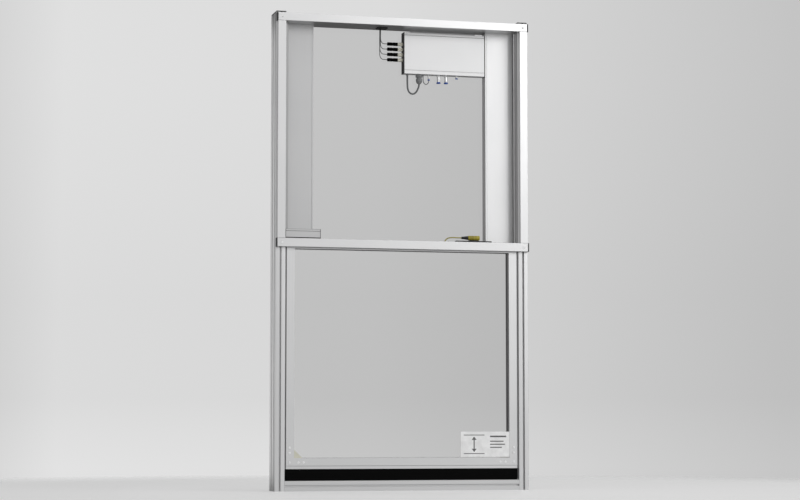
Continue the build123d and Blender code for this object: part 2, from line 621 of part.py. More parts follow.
def build_leaf_top():
    housing = hollow(HOUSING_X, HOUSING_Y, HOUSING_Z, 3.0, "x")
    housing += block((HOUSING_X[1] - 5, HOUSING_X[1]), HOUSING_Y, HOUSING_Z)
    housing += block((-ARM_X[1], HOUSING_X[0]), (HOUSING_Y[0], HOUSING_Y[0] + 2.5), HOUSING_Z)
    save("carrier_housing", housing)
    arm = block((-ARM_X[1], HOUSING_X[1] - 12), (-8, 4), ARM_Z)
    arm += block((-ARM_X[1], -ARM_X[0]), (-8, 32), ARM_Z)
    arm += block((-ARM_X[1], DRIVE_X - 21), (22, 32), ARM_Z)
    save("carrier_arm", arm)
    top = LEAF_Z[1]
    rope_arm = block((380, ARM_X[1]), (-10, 4), (top, top + 8))
    rope_arm += block(ARM_X, (4, 38), (top + 7, top + 13))
    rope_arm += block(ARM_X, (-10, 4), (top + 8, top + 13))
    rope_arm += block((434, ARM_X[1]), (30, 38), (top + 7, top + 13))
    rope_arm += rod_z(ROPE_X, ROPE_Y, (top + 13, 988), 2.5)
    save("rope_arm", rope_arm)
    stand = block((221, 369), (-24, -4), (top, 987.5))
    stand -= block((225, 365), (-25, -3), (top - 1, 984.5))
    stand += block((277, 316), (-19, -9), (987.5, PLUG_Z - 9.4))
    save("plug_bracket", stand)
    body = rod_x((273, 320), PLUG_Y, PLUG_Z, 9.3)
    body = chamfer(body.edges().filter_by(GeomType.CIRCLE), length=1.2)
    save("edge_plug", body)
    save("edge_plug_relief", cone_x((246, 273), PLUG_Y, PLUG_Z, 4.6, 7.2))


# ---- Cord routes ----
SENSOR_ROUTES = [
    [(-76.5, 27.5, 1831), (-76.5, 27.5, 1819), (-76.9, 27.3, 1803), (-76.3, 27.6, 1787),
     (-68.5, 28.3, 1775.3), (-57, 29, 1775), (-49, 29, 1775)],
    [(-76.5, 30.5, 1831), (-76.5, 30.5, 1817), (-76.9, 30.8, 1797), (-76.4, 30.3, 1780),
     (-76.2, 30.4, 1765.5), (-68.5, 29.7, 1754.3), (-57, 29, 1754), (-49, 29, 1754)],
    [(-79.5, 27.5, 1831), (-79.5, 27.5, 1815), (-79.9, 27.2, 1792), (-79.4, 27.6, 1768),
     (-79.2, 27.5, 1746), (-71, 28.3, 1733.4), (-58.5, 29, 1733), (-49, 29, 1733)],
    [(-79.5, 30.5, 1831), (-79.5, 30.5, 1813), (-79.9, 30.8, 1786), (-79.4, 30.3, 1759),
     (-79.7, 30.6, 1738), (-79.2, 30.4, 1724), (-71, 29.7, 1711.9), (-58.5, 29, 1711.5), (-49, 29, 1711.5)],
]
SUPPLY_ROUTE = [
    (34.3, 29, 1650), (34.3, 29, 1636), (34.5, 29, 1617), (35.3, 29, 1598), (41.5, 29, 1582.5),
    (55.5, 29, 1575.5), (69.5, 29, 1582), (77.3, 29, 1596), (82.5, 29, 1609), (83, 29, 1619),
]
PILOT_ROUTE = [
    (100, 29, 1652), (100, 29, 1646), (99.8, 29, 1636), (101.3, 29, 1625), (107.2, 29, 1618.4),
    (115.6, 29, 1618.3), (121.6, 29, 1624.2), (123, 29, 1630.6), (123, 29, 1634),
]
EDGE_LEAD_ROUTE = [
    (176, -14, 973), (176, -14, 980.5), (179.5, -14, 989.5), (188, -14, 996.5), (200, -14, 999.6),
    (216, -14, 1000.1), (232, -14, 999.4), (246, -14, 999.4),
]


def build_cords():
    for number, route in enumerate(SENSOR_ROUTES, start=1):
        cord(f"sensor_lead_{number}", 2.8, route)
    cord("supply_lead", 7.0, SUPPLY_ROUTE)
    cord("pilot_tube", 3.2, PILOT_ROUTE)
    cord("edge_plug_lead", 4.6, EDGE_LEAD_ROUTE)


build_frame()
build_upper()
build_control_box()
build_connections()
build_air_fittings()
build_drive()
build_balancer()
build_leaf()
build_safety_edge()
build_leaf_top()
build_cords()
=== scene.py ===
import json
import math

import bmesh
import bpy
from mathutils import Matrix, Vector


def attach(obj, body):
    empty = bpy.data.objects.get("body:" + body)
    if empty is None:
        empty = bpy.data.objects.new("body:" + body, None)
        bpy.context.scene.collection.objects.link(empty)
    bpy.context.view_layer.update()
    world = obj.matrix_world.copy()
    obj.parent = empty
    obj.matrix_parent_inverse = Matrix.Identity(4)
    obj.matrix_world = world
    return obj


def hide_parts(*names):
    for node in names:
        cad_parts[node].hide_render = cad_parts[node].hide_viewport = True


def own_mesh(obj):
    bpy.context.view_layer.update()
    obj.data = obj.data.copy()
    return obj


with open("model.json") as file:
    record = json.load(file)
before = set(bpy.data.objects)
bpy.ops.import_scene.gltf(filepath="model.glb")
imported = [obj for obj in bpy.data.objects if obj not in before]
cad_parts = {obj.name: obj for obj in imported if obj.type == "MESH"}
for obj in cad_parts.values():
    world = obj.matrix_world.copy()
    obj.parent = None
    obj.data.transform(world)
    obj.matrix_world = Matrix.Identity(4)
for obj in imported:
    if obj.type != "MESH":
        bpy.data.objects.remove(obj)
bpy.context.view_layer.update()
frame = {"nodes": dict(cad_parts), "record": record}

# Lengths are in metres, except for the cords' routes, which are in millimetres.
MM = 0.001
SLOT_OF = {part["node"]: part["material_slot"] for part in frame["record"]["subparts"]}
BODY_OF = {node: body for body, nodes in frame["record"]["behaviour"]["bodies"].items() for node in nodes}


# ---- Camera, light and floor ----
CAMERA_AT = (-2.2353, -8.3927, 0.2378)
CAMERA_ALONG = (0.25612, 0.96321, 0.08138)
LENS_MM = 99.0


def build_camera():
    data = bpy.data.cameras.new("camera")
    data.lens = LENS_MM
    data.sensor_width = 36.0
    data.clip_end = 200.0
    camera = bpy.data.objects.new("camera", data)
    camera.location = CAMERA_AT
    camera.rotation_mode = "QUATERNION"
    camera.rotation_quaternion = Vector(CAMERA_ALONG).to_track_quat("-Z", "Y")
    bpy.context.scene.collection.objects.link(camera)
    bpy.context.scene.camera = camera


def area_light(name, at, aim, size, watts, spread_degrees=180.0):
    data = bpy.data.lights.new(name, "AREA")
    data.shape = "RECTANGLE"
    data.size, data.size_y = size
    data.energy = watts
    data.spread = math.radians(spread_degrees)
    light = bpy.data.objects.new(name, data)
    light.location = at
    light.rotation_mode = "QUATERNION"
    light.rotation_quaternion = (Vector(aim) - Vector(at)).to_track_quat("-Z", "Y")
    light.visible_camera = False
    bpy.context.scene.collection.objects.link(light)


def grey(value):
    return (value, value, value, 1.0)


def ramp(tree, factor, stops):
    """Colour ramp over factor; stops are (position, colour) pairs."""
    node = tree.nodes.new("ShaderNodeValToRGB")
    points = node.color_ramp.elements
    points[0].position, points[0].color = stops[0]
    points[1].position, points[1].color = stops[-1]
    for position, colour in stops[1:-1]:
        points.new(position).color = colour
    tree.links.new(factor, node.inputs["Fac"])
    return node.outputs["Color"]


def grey_ramp(tree, factor, *stops):
    """Ramp of greys; stops are (position, value) pairs."""
    return ramp(tree, factor, [(position, grey(value)) for position, value in stops])


def combined(tree, blend, first, second):
    mix = tree.nodes.new("ShaderNodeMix")
    mix.data_type = "RGBA"
    mix.blend_type = blend
    mix.inputs["Factor"].default_value = 1.0
    tree.links.new(first, mix.inputs["A"])
    tree.links.new(second, mix.inputs["B"])
    return mix.outputs["Result"]


def remapped(tree, value, low, high, to_low=0.0, to_high=1.0):
    """Maps low..high onto to_low..to_high."""
    span = tree.nodes.new("ShaderNodeMapRange")
    span.inputs["From Min"].default_value = low
    span.inputs["From Max"].default_value = high
    span.inputs["To Min"].default_value = to_low
    span.inputs["To Max"].default_value = to_high
    tree.links.new(value, span.inputs["Value"])
    return span.outputs["Result"]


def backdrop(tree, across, up):
    sideways = grey_ramp(tree, across, (0.07, 0.66), (0.105, 0.755), (0.245, 0.725), (0.42, 0.56))
    glow = grey_ramp(
        tree, remapped(tree, up, -0.06, 0.18),
        (0.0, 0.93), (0.18, 1.01), (0.24, 0.98), (0.31, 0.935), (0.5, 0.935), (0.7, 0.965), (0.9, 0.985),
    )
    return combined(tree, "MULTIPLY", sideways, glow)


def room(tree, along, up):
    """Brighter in front of the object than behind it, and dark below the horizon."""
    depth = grey_ramp(
        tree, remapped(tree, along, -1.0, 1.0),
        (0.0, 0.66), (0.12, 0.66), (0.34, 0.46), (0.5, 0.36), (0.62, 0.2), (1.0, 0.18),
    )
    height = grey_ramp(
        tree, remapped(tree, up, -1.0, 1.0),
        (0.3, 0.42), (0.47, 0.74), (0.51, 1.0), (0.66, 0.9), (0.8, 0.6),
    )
    return combined(tree, "MULTIPLY", depth, height)


def front_box(tree, across, along, up):
    """Soft box at the front right."""
    width = grey_ramp(tree, across, (0.06, 0.0), (0.24, 0.25), (0.36, 0.6), (0.75, 0.8))
    height = grey_ramp(tree, remapped(tree, up, -0.2, 0.8), (0.17, 0.0), (0.30, 1.0), (0.8, 0.4))
    front = grey_ramp(tree, remapped(tree, along, -1.0, 0.0), (0.5, 1.0), (1.0, 0.0))
    return combined(tree, "MULTIPLY", combined(tree, "MULTIPLY", width, height), front)


def back_fill(tree, across, along, up):
    """Weaker light from behind, above the horizon."""
    width = grey_ramp(tree, remapped(tree, across, -0.5, 0.5), (0.3, 0.0), (0.62, 0.30), (1.0, 0.42))
    back = grey_ramp(tree, along, (0.0, 0.0), (0.5, 1.0))
    height = grey_ramp(tree, remapped(tree, up, -0.1, 0.1), (0.35, 0.05), (0.6, 1.0))
    return combined(tree, "MULTIPLY", combined(tree, "MULTIPLY", width, back), height)


def build_world():
    """Pale backdrop for the camera; room, front box and back fill for everything else."""
    world = bpy.data.worlds.new("studio")
    bpy.context.scene.world = world
    world.use_nodes = True
    tree = world.node_tree
    coordinates = tree.nodes.new("ShaderNodeTexCoord")
    split = tree.nodes.new("ShaderNodeSeparateXYZ")
    tree.links.new(coordinates.outputs["Generated"], split.inputs[0])
    across, along, up = (split.outputs[axis] for axis in "XYZ")
    studio = combined(tree, "ADD", room(tree, along, up), front_box(tree, across, along, up))
    studio = combined(tree, "ADD", studio, back_fill(tree, across, along, up))
    seen = tree.nodes.new("ShaderNodeLightPath")
    choice = tree.nodes.new("ShaderNodeMix")
    choice.data_type = "RGBA"
    tree.links.new(seen.outputs["Is Camera Ray"], choice.inputs["Factor"])
    tree.links.new(studio, choice.inputs["A"])
    tree.links.new(backdrop(tree, across, up), choice.inputs["B"])
    tree.links.new(choice.outputs["Result"], tree.nodes["Background"].inputs["Color"])


FLOOR_RADIUS = 3.2
FLOOR_SOLID = 1.9
FLOOR_TONE = 0.66
FLOOR_GLOW = 0.30


def build_floor():
    """Round pale floor that fades out towards its rim."""
    mesh = bpy.data.meshes.new("floor")
    disc = bmesh.new()
    bmesh.ops.create_circle(disc, cap_ends=True, segments=96, radius=FLOOR_RADIUS)
    disc.to_mesh(mesh)
    disc.free()
    floor = bpy.data.objects.new("floor", mesh)
    bpy.context.scene.collection.objects.link(floor)
    finish = bpy.data.materials.new("floor")
    finish.use_nodes = True
    tree = finish.node_tree
    surface = tree.nodes["Principled BSDF"]
    surface.inputs["Base Color"].default_value = grey(FLOOR_TONE)
    surface.inputs["Emission Color"].default_value = grey(1.0)
    surface.inputs["Emission Strength"].default_value = FLOOR_GLOW
    surface.inputs["Roughness"].default_value = 0.5
    coordinates = tree.nodes.new("ShaderNodeTexCoord")
    reach = tree.nodes.new("ShaderNodeVectorMath")
    reach.operation = "LENGTH"
    tree.links.new(coordinates.outputs["Object"], reach.inputs[0])
    fade = tree.nodes.new("ShaderNodeMapRange")
    fade.interpolation_type = "SMOOTHSTEP"
    fade.inputs["From Min"].default_value = FLOOR_SOLID
    fade.inputs["From Max"].default_value = FLOOR_RADIUS
    fade.inputs["To Min"].default_value = 1.0
    fade.inputs["To Max"].default_value = 0.0
    tree.links.new(reach.outputs["Value"], fade.inputs["Value"])
    tree.links.new(fade.outputs["Result"], surface.inputs["Alpha"])
    mesh.materials.append(finish)
    floor.visible_glossy = False


def build_stage():
    build_camera()
    build_world()
    build_floor()
    area_light("key", (3.4, -5.2, 3.6), aim=(0.1, 0.0, 0.9), size=(2.6, 3.2), watts=56.0)
    area_light("top", (0.0, -0.6, 4.4), aim=(0.0, 0.0, 0.9), size=(3.0, 2.0), watts=25.0)
    area_light(
        "side", (-0.80, 0.95, 1.0), aim=(-0.515, 0.0, 1.0), size=(0.4, 1.98), watts=0.2, spread_degrees=60.0,
    )
    bpy.context.scene.view_settings.view_transform = "Standard"


# ---- Materials ----
NOISE_BAND = (0.3, 0.7)


class Finish:
    """A procedural material round one Principled shader, with helpers for its nodes."""

    def __init__(self, name, colour, roughness, metallic=0.0):
        self.material = bpy.data.materials.new(name)
        self.material.use_nodes = True
        self.tree = self.material.node_tree
        self.surface = self.tree.nodes["Principled BSDF"]
        self.surface.inputs["Base Color"].default_value = (*colour, 1.0)
        self.surface.inputs["Roughness"].default_value = roughness
        self.surface.inputs["Metallic"].default_value = metallic
        self.coordinates = self.tree.nodes.new("ShaderNodeTexCoord").outputs["Object"]

    def noise(self, scale, detail=2.0):
        """Noise in object space; scale is one number or three, in features per metre."""
        mapping = self.tree.nodes.new("ShaderNodeMapping")
        mapping.inputs["Scale"].default_value = scale if hasattr(scale, "__len__") else (scale,) * 3
        self.tree.links.new(self.coordinates, mapping.inputs["Vector"])
        texture = self.tree.nodes.new("ShaderNodeTexNoise")
        texture.inputs["Scale"].default_value = 1.0
        texture.inputs["Detail"].default_value = detail
        self.tree.links.new(mapping.outputs["Vector"], texture.inputs["Vector"])
        return texture.outputs["Fac"]

    def vary_colour(self, source, low, high):
        start, end = NOISE_BAND
        colour = ramp(self.tree, source, [(start, (*low, 1.0)), (end, (*high, 1.0))])
        self.tree.links.new(colour, self.surface.inputs["Base Color"])

    def vary_roughness(self, source, low, high):
        varied = remapped(self.tree, source, *NOISE_BAND, low, high)
        self.tree.links.new(varied, self.surface.inputs["Roughness"])

    def bump(self, source, strength, depth):
        bump = self.tree.nodes.new("ShaderNodeBump")
        bump.inputs["Strength"].default_value = strength
        bump.inputs["Distance"].default_value = depth
        self.tree.links.new(source, bump.inputs["Height"])
        self.tree.links.new(bump.outputs["Normal"], self.surface.inputs["Normal"])


def drawn_metal(name, along, tone, roughness, grain=1400.0, strength=0.12, metallic=1.0):
    """Anodised or ground metal with fine lines along one axis."""
    finish = Finish(name, (tone,) * 3, roughness, metallic)
    scale = [grain] * 3
    scale["xyz".index(along)] = 3.0
    lines = finish.noise(scale)
    darker = (tone * 0.965, tone * 0.967, tone * 0.972)
    finish.vary_colour(finish.noise(5.0), darker, (tone, tone, tone * 1.004))
    finish.vary_roughness(lines, roughness - 0.05, roughness + 0.06)
    finish.bump(lines, strength, 0.00004)
    return finish.material


def sheet_metal(name, along, tone):
    """Folded sheet with a dull, only partly metallic surface."""
    return drawn_metal(name, along, tone, 0.44, grain=900.0, strength=0.08, metallic=0.65)


def moulded(name, colour, roughness, grain=2600.0, strength=0.15, coat=0.0, specular=0.5):
    """Moulded plastic or rubber with a fine spark-eroded texture."""
    finish = Finish(name, colour, roughness)
    texture = finish.noise(grain)
    darker = tuple(channel * 0.9 for channel in colour)
    lighter = tuple(min(1.0, channel * 1.08) for channel in colour)
    finish.vary_colour(finish.noise(30.0, detail=3.0), darker, lighter)
    finish.vary_roughness(texture, roughness - 0.06, roughness + 0.08)
    finish.surface.inputs["Coat Weight"].default_value = coat
    finish.surface.inputs["Coat Roughness"].default_value = 0.2
    finish.surface.inputs["Specular IOR Level"].default_value = specular
    finish.bump(texture, strength, 0.00005)
    return finish.material


def tinted_sheet(name, tint):
    """Grey clear sheet: straight through with a tint, and a gloss that grows towards the edge of sight."""
    finish = bpy.data.materials.new(name)
    finish.use_nodes = True
    tree = finish.node_tree
    tree.nodes.remove(tree.nodes["Principled BSDF"])
    through = tree.nodes.new("ShaderNodeBsdfTransparent")
    through.inputs["Color"].default_value = grey(tint)
    gloss = tree.nodes.new("ShaderNodeBsdfGlossy")
    gloss.inputs["Color"].default_value = grey(0.9)
    gloss.inputs["Roughness"].default_value = 0.06
    fresnel = tree.nodes.new("ShaderNodeFresnel")
    fresnel.inputs["IOR"].default_value = 1.28
    mix = tree.nodes.new("ShaderNodeMixShader")
    back_side = tree.nodes.new("ShaderNodeNewGeometry").outputs["Backfacing"]
    entering = tree.nodes.new("ShaderNodeMath")
    entering.operation = "SUBTRACT"
    entering.inputs[0].default_value = 1.0
    tree.links.new(back_side, entering.inputs[1])
    share = tree.nodes.new("ShaderNodeMath")
    share.operation = "MULTIPLY"
    tree.links.new(fresnel.outputs["Fac"], share.inputs[0])
    tree.links.new(entering.outputs["Value"], share.inputs[1])
    tree.links.new(share.outputs["Value"], mix.inputs["Fac"])
    tree.links.new(through.outputs["BSDF"], mix.inputs[1])
    tree.links.new(gloss.outputs["BSDF"], mix.inputs[2])
    tree.links.new(mix.outputs["Shader"], tree.nodes["Material Output"].inputs["Surface"])
    return finish


ALUMINIUM = {axis: drawn_metal(f"anodised_{axis}", axis, 0.80, 0.36) for axis in "xz"}
STEEL = {axis: drawn_metal(f"ground_steel_{axis}", axis, 0.60, 0.28, 2200.0) for axis in "xyz"}
# Aluminium guides with their tone lowered well below the frame's: painted shade of the gap beside the leaf.
GUIDE = drawn_metal("guide_profile", "z", 0.45, 0.40)
SILL_METAL = drawn_metal("sill_metal", "x", 0.76, 0.38)
# DUCT_SHEET is the lit copy of the duct sheet. SHADED_SHEET is a darker copy of the same sheet with painted
# shade, used on the left-hand ducts and the carrier housing.
DUCT_SHEET = sheet_metal("duct_sheet_z", "z", 0.94)
SHADED_SHEET = {axis: sheet_metal(f"shaded_sheet_{axis}", axis, 0.655) for axis in "xz"}
BOX_SHEET = sheet_metal("box_sheet", "x", 0.83)
NICKEL = drawn_metal("nickel", "x", 0.72, 0.22, 1800.0, 0.06)
ZINC_SCREW = drawn_metal("zinc_screw", "y", 1.0, 0.34, 1500.0, 0.03, 0.12)
PALE_METAL = drawn_metal("pale_metal", "z", 0.95, 0.30, 1500.0, 0.03, 0.8)
CREAM = drawn_metal("cream_nickel", "x", 0.92, 0.34, 1500.0, 0.04, 0.8)
PASSIVATED = drawn_metal("zinc_plate", "x", 0.70, 0.45, 500.0, 0.1)
BLACK = moulded("black_plastic", (0.018, 0.018, 0.019), 0.42)
SEAL = moulded("seal_rubber", (0.016, 0.016, 0.016), 0.6, 1800.0, 0.2)
RUBBER = moulded("edge_rubber", (0.002, 0.002, 0.002), 0.7, 1500.0, 0.25, specular=0.06)
GREY_PLASTIC = moulded("grey_plastic", (0.24, 0.245, 0.25), 0.45)
MODULE = moulded("module_plastic", (0.12, 0.13, 0.14), 0.5)
WHITE = moulded("white_plate", (0.93, 0.93, 0.93), 0.3, 3000.0, 0.03, coat=0.3)
YELLOW = moulded("yellow_plastic", (0.46, 0.38, 0.03), 0.34, 2000.0, 0.1, coat=0.2)
BLUE = moulded("blue_plastic", (0.02, 0.09, 0.42), 0.35, 2400.0, 0.1, coat=0.2)
ICON_GREY = moulded("icon_grey", (0.12, 0.12, 0.12), 0.4, 2400.0, 0.05)
GREY_CABLE = moulded("grey_cable", (0.15, 0.155, 0.16), 0.48, 900.0, 0.2)
BLACK_CABLE = moulded("dark_cable", (0.10, 0.10, 0.10), 0.45, 900.0, 0.2)
YELLOW_CABLE = moulded("yellow_cable", (0.40, 0.34, 0.09), 0.45, 900.0, 0.15)
TINTED = tinted_sheet("tinted_sheet", 0.875)
TINTED_REAR = tinted_sheet("tinted_sheet_rear", 0.87)
CLEAR_SEAL = tinted_sheet("clear_seal", 0.93)


def warm(material, low, high):
    """Gives a metal's tone variation a colour cast."""
    for node in material.node_tree.nodes:
        if node.type == "VALTORGB":
            node.color_ramp.elements[0].color = (*low, 1.0)
            node.color_ramp.elements[1].color = (*high, 1.0)


warm(PASSIVATED, (0.68, 0.68, 0.57), (0.78, 0.76, 0.65))
warm(CREAM, (0.90, 0.88, 0.76), (0.95, 0.93, 0.82))


# ---- Building pieces ----
SHARP_ANGLE = math.radians(32.0)
HEX_STEPS = 72


def place(piece, body, slot, *nodes):
    """Hangs a finished piece on a body and hides the CAD nodes it stands for."""
    bpy.context.scene.collection.objects.link(piece)
    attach(piece, body)
    if nodes:
        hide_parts(*nodes)
    return piece


def sharpen(mesh):
    """Smooth shading that keeps edges steeper than SHARP_ANGLE."""
    mesh.shade_smooth()
    mesh.set_sharp_from_angle(angle=SHARP_ANGLE)


def round_edges(piece, width, segments=2):
    sharpen(piece.data)
    bevel = piece.modifiers.new("edges", "BEVEL")
    bevel.width = width
    bevel.segments = segments
    bevel.limit_method = "ANGLE"
    bevel.angle_limit = SHARP_ANGLE
    bevel.harden_normals = True


def softened(node, width, finish):
    """Copy of a CAD node with its edges rounded, standing for that node."""
    work = bmesh.new()
    work.from_mesh(frame["nodes"][node].data)
    bmesh.ops.remove_doubles(work, verts=work.verts, dist=1e-6)
    bmesh.ops.dissolve_limit(work, angle_limit=math.radians(0.5), verts=work.verts, edges=work.edges)
    work.verts.index_update()
    mesh = bpy.data.meshes.new(node + "_shape")
    corners = [v.co.copy() for v in work.verts]
    mesh.from_pydata(corners, [], [[v.index for v in face.verts] for face in work.faces])
    work.free()
    piece = bpy.data.objects.new(node + "_shape", mesh)
    mesh.materials.append(finish)
    round_edges(piece, width)
    return place(piece, BODY_OF[node], SLOT_OF[node], node)


def turn_to(axis):
    """Rotation that takes local +Z to the named axis."""
    return {
        "z": Matrix.Identity(4),
        "x": Matrix.Rotation(math.radians(90), 4, "Y"),
        "y": Matrix.Rotation(math.radians(-90), 4, "X"),
    }[axis]


def turn_angles(steps):
    return [2 * math.pi * i / steps for i in range(steps)]


def ring_point(radius, angle, height):
    return (radius * math.cos(angle), radius * math.sin(angle), height)


def hexagon(angle):
    """Radius factor of a hexagon with corners at radius 1."""
    sector = math.pi / 3
    return math.cos(sector / 2) / math.cos((angle % sector) - sector / 2)


def hex_factor(angle, radius):
    """Hexagon turned by 30 degrees, as a factor for lathe."""
    return hexagon(angle + math.pi / 6)


def squarish(angle, radius):
    """Square with well rounded corners, as a factor for lathe."""
    return 1.0 + 0.045 * math.cos(4 * angle) ** 2 - 0.02


def knurl(teeth, depth, from_radius=0.0):
    """Teeth round the turned part, outside from_radius, as a factor for lathe."""
    return lambda angle, radius: 1.0 + depth * math.cos(teeth * angle) if radius > from_radius else 1.0


class Shape:
    """Closed solids gathered in one mesh; each is made along local +Z, turned and moved."""

    def __init__(self, name):
        self.name = name
        self.work = bmesh.new()
        self.finishes = []

    def _index(self, finish):
        if finish not in self.finishes:
            self.finishes.append(finish)
        return self.finishes.index(finish)

    def loops(self, rings, finish, at=(0, 0, 0), axis="z", flip=False, closed=False):
        """Skin between rings of points of equal count, capped at both ends or closed on itself."""
        matrix = Matrix.Translation(at) @ turn_to(axis)
        if flip:
            matrix = matrix @ Matrix.Rotation(math.pi, 4, "X")
        index = self._index(finish)
        made = [[self.work.verts.new(matrix @ Vector(p)) for p in ring] for ring in rings]
        faces = []
        for low, high in zip(made, made[1:] + made[:1] if closed else made[1:]):
            for i in range(len(low)):
                j = (i + 1) % len(low)
                faces.append(self.work.faces.new((low[i], low[j], high[j], high[i])))
        if not closed:
            faces.append(self.work.faces.new(list(reversed(made[0]))))
            faces.append(self.work.faces.new(made[-1]))
        for face in faces:
            face.material_index = index
        return self

    def lathe(self, profile, finish, at=(0, 0, 0), axis="z", steps=40, factor=None, closed=False):
        """Turned solid from (radius, height) pairs; factor(angle, radius) scales the radius."""
        rings = []
        for radius, height in profile:
            reaches = [radius * (factor(a, radius) if factor else 1.0) for a in turn_angles(steps)]
            rings.append([ring_point(reach, a, height) for reach, a in zip(reaches, turn_angles(steps))])
        return self.loops(rings, finish, at, axis, closed=closed)

    def hexagonal(self, profile, finish, at):
        return self.lathe(profile, finish, at, steps=HEX_STEPS, factor=hex_factor)

    def box(self, low, high, finish):
        outline = [(low[0], low[1]), (high[0], low[1]), (high[0], high[1]), (low[0], high[1])]
        return self.loops([[(x, y, z) for x, y in outline] for z in (low[2], high[2])], finish)

    def bar_x(self, outline, span, finish):
        """Profile of (y, z) points carried along X."""
        rings = [[(x, y, z) for y, z in outline] for x in span]
        return self.loops(rings, finish)

    def finish(self, edge=None, segments=2):
        bmesh.ops.recalc_face_normals(self.work, faces=self.work.faces)
        mesh = bpy.data.meshes.new(self.name)
        self.work.to_mesh(mesh)
        self.work.free()
        for material in self.finishes:
            mesh.materials.append(material)
        piece = bpy.data.objects.new(self.name, mesh)
        if edge:
            round_edges(piece, edge, segments)
        else:
            sharpen(mesh)
        return piece


def screw_head(shape, at, axis, radius, height, flip=False):
    """Low round head with a hexagon socket, its seat at the given point."""
    dome = [(1, 0), (1, 0.62), (0.97, 0.8), (0.88, 0.93), (0.7, 0.99), (0.42, 1)]
    socket = radius * 0.34
    angles = turn_angles(36)
    rings = [[ring_point(radius * reach, a, height * level) for a in angles] for reach, level in dome]
    for level in (height, height * 0.35):
        rings.append([ring_point(socket * hexagon(a), a, level) for a in angles])
    shape.loops(rings, ZINC_SCREW, at, axis, flip)


# ---- Cords ----
def cord(node, route, diameter, finish, ends=()):
    """Smooth cord through the route's control points, which are in millimetres."""
    data = bpy.data.curves.new(node + "_cord", "CURVE")
    data.dimensions = "3D"
    data.resolution_u = 12
    data.bevel_depth = diameter / 2
    data.bevel_resolution = 8
    data.use_fill_caps = True
    spline = data.splines.new("NURBS")
    spline.points.add(len(route) - 1)
    for point, place_mm in zip(spline.points, route):
        point.co = (*[c * MM for c in place_mm], 1.0)
    spline.order_u = 3
    spline.use_endpoint_u = True
    piece = bpy.data.objects.new(node + "_cord", data)
    data.materials.append(finish)
    place(piece, BODY_OF[node], SLOT_OF[node], node)


EDGE_PLUG_AXIS = (0, -0.014, 0.9994)


def build_edge_plug():
    """Yellow plug with ribs and a tapered relief with rings; both lie on the leaf."""
    plug = Shape("edge_plug_body")
    profile = [(0.0078, 0.273), (0.0092, 0.2745)]
    for start in (0.2785, 0.2835, 0.2885, 0.2935):
        profile += [
            (0.0092, start), (0.0084, start + 0.0004), (0.0084, start + 0.0014), (0.0092, start + 0.0018),
        ]
    profile += [
        (0.0092, 0.301), (0.0088, 0.3016), (0.0088, 0.3044),
        (0.0093, 0.305), (0.0093, 0.319), (0.0085, 0.320),
    ]
    plug.lathe(profile, YELLOW, EDGE_PLUG_AXIS, "x", steps=56)
    for start in (0.27935, 0.28435, 0.28935, 0.29435, 0.3026):
        plug.lathe([(0.00895, start), (0.00895, start + 0.0009)], BLACK, EDGE_PLUG_AXIS, "x", steps=56)
    relief = Shape("edge_plug_sleeve")
    profile = [(0.0042, 0.246), (0.0047, 0.2465)]
    for start in (0.2485, 0.2535, 0.2585, 0.2635):
        radius = 0.0047 + (start - 0.2465) * 0.105
        profile += [
            (radius, start), (radius - 0.0011, start + 0.0003),
            (radius - 0.0010, start + 0.0017), (radius + 0.0002, start + 0.002),
        ]
    profile += [(0.0072, 0.2685), (0.0072, 0.2728)]
    relief.lathe(profile, BLACK, EDGE_PLUG_AXIS, "x", steps=40)
    return [
        place(plug.finish(0.0002), "leaf", "yellow_plastic", "edge_plug"),
        place(relief.finish(0.0002), "leaf", "black_plastic", "edge_plug_relief"),
    ]


SENSOR_ROUTES = [
    [(-76.5, 27.5, 1831), (-76.5, 27.5, 1819), (-76.9, 27.3, 1803), (-76.3, 27.6, 1787),
     (-68.5, 28.3, 1775.3), (-57, 29, 1775), (-49, 29, 1775)],
    [(-76.5, 30.5, 1831), (-76.5, 30.5, 1817), (-76.9, 30.8, 1797), (-76.4, 30.3, 1780),
     (-76.2, 30.4, 1765.5), (-68.5, 29.7, 1754.3), (-57, 29, 1754), (-49, 29, 1754)],
    [(-79.5, 27.5, 1831), (-79.5, 27.5, 1815), (-79.9, 27.2, 1792), (-79.4, 27.6, 1768),
     (-79.2, 27.5, 1746), (-71, 28.3, 1733.4), (-58.5, 29, 1733), (-49, 29, 1733)],
    [(-79.5, 30.5, 1831), (-79.5, 30.5, 1813), (-79.9, 30.8, 1786), (-79.4, 30.3, 1759),
     (-79.7, 30.6, 1738), (-79.2, 30.4, 1724), (-71, 29.7, 1711.9), (-58.5, 29, 1711.5), (-49, 29, 1711.5)],
]
SUPPLY_ROUTE = [
    (34.3, 29, 1650), (34.3, 29, 1636), (34.5, 29, 1617), (35.3, 29, 1598), (41.5, 29, 1582.5),
    (55.5, 29, 1575.5), (69.5, 29, 1582), (77.3, 29, 1596), (82.5, 29, 1609), (83, 29, 1619),
]
PILOT_ROUTE = [
    (100, 29, 1652), (100, 29, 1646), (99.8, 29, 1636), (101.3, 29, 1625), (107.2, 29, 1618.4),
    (115.6, 29, 1618.3), (121.6, 29, 1624.2), (123, 29, 1630.6), (123, 29, 1634),
]
SENSOR_LENGTHS = (0.0765, 0.0975, 0.1208, 0.1425)
SENSOR_LEAD_DIAMETER = 0.0028
EDGE_LEAD_ROUTE = [
    (176, -14, 973), (176, -14, 980.5), (179.5, -14, 989.5), (188, -14, 996.5), (200, -14, 999.6),
    (216, -14, 1000.1), (232, -14, 999.4), (246, -14, 999.4),
]


def build_cords():
    for number, (route, length) in enumerate(zip(SENSOR_ROUTES, SENSOR_LENGTHS), start=1):
        cord(f"sensor_lead_{number}", route, SENSOR_LEAD_DIAMETER, BLACK_CABLE)
    cord("supply_lead", SUPPLY_ROUTE, 0.007, GREY_CABLE)
    cord("pilot_tube", PILOT_ROUTE, 0.0032, GREY_CABLE)
    cord("edge_plug_lead", EDGE_LEAD_ROUTE, 0.0046, YELLOW_CABLE, build_edge_plug())


